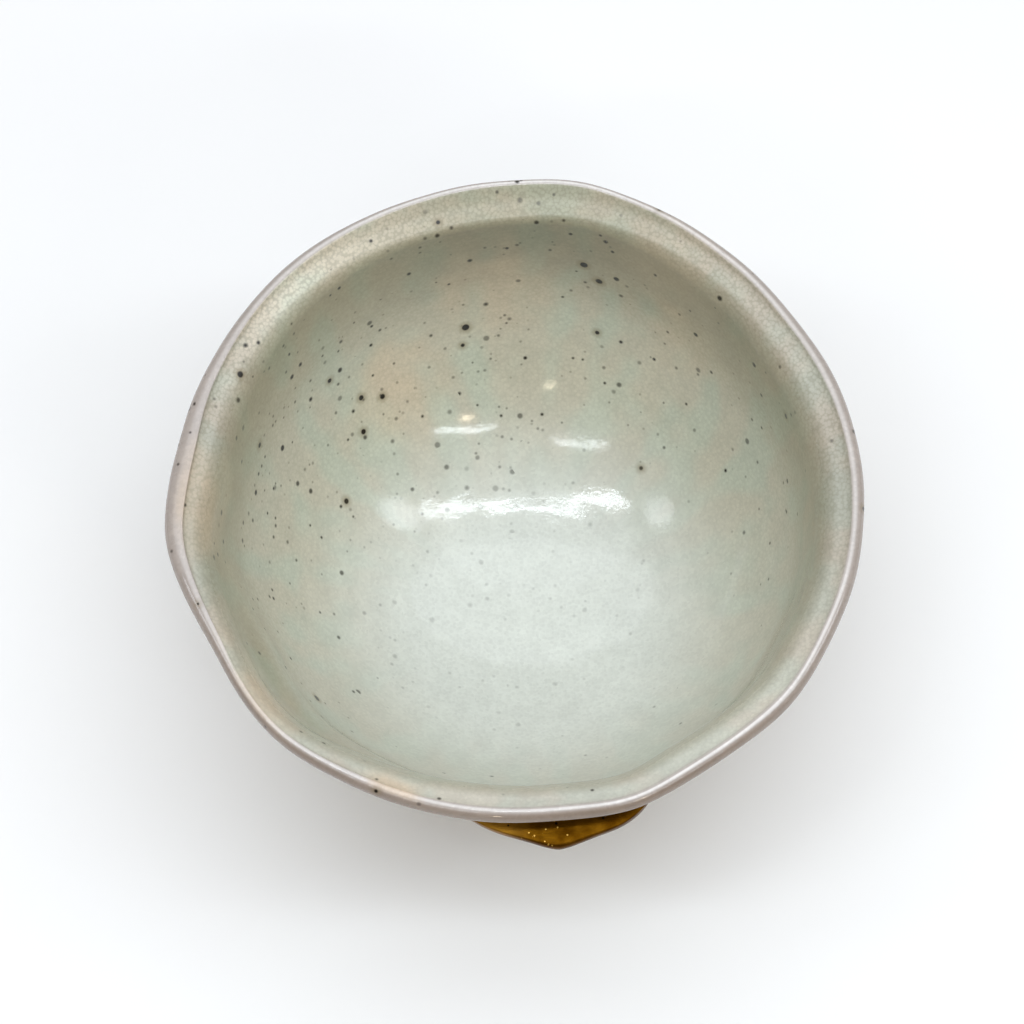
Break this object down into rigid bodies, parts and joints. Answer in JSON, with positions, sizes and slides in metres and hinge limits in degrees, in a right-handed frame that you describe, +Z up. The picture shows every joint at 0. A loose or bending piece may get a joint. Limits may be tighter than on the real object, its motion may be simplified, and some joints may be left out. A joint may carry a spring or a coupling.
{
  "type": "tea bowl",
  "caption": "Open hand-thrown tea bowl with a flattened lip, a turned foot ring and a small leaf-shaped gilded lug under the lip.",
  "frame": {"origin": "middle of the bounding box's underside, on the ground under the foot", "axes": "+Z up out of the bowl's mouth, -Y towards the side with the lug"},
  "size_m": [0.1254, 0.1284, 0.0705],
  "materials": {
    "glaze": "glossy grey-green crackle glaze with iron specks, gold-coated lug, bare clay foot"
  },
  "bodies": {
    "root": {"tea_bowl": "glaze"}
  },
  "joints": []
}
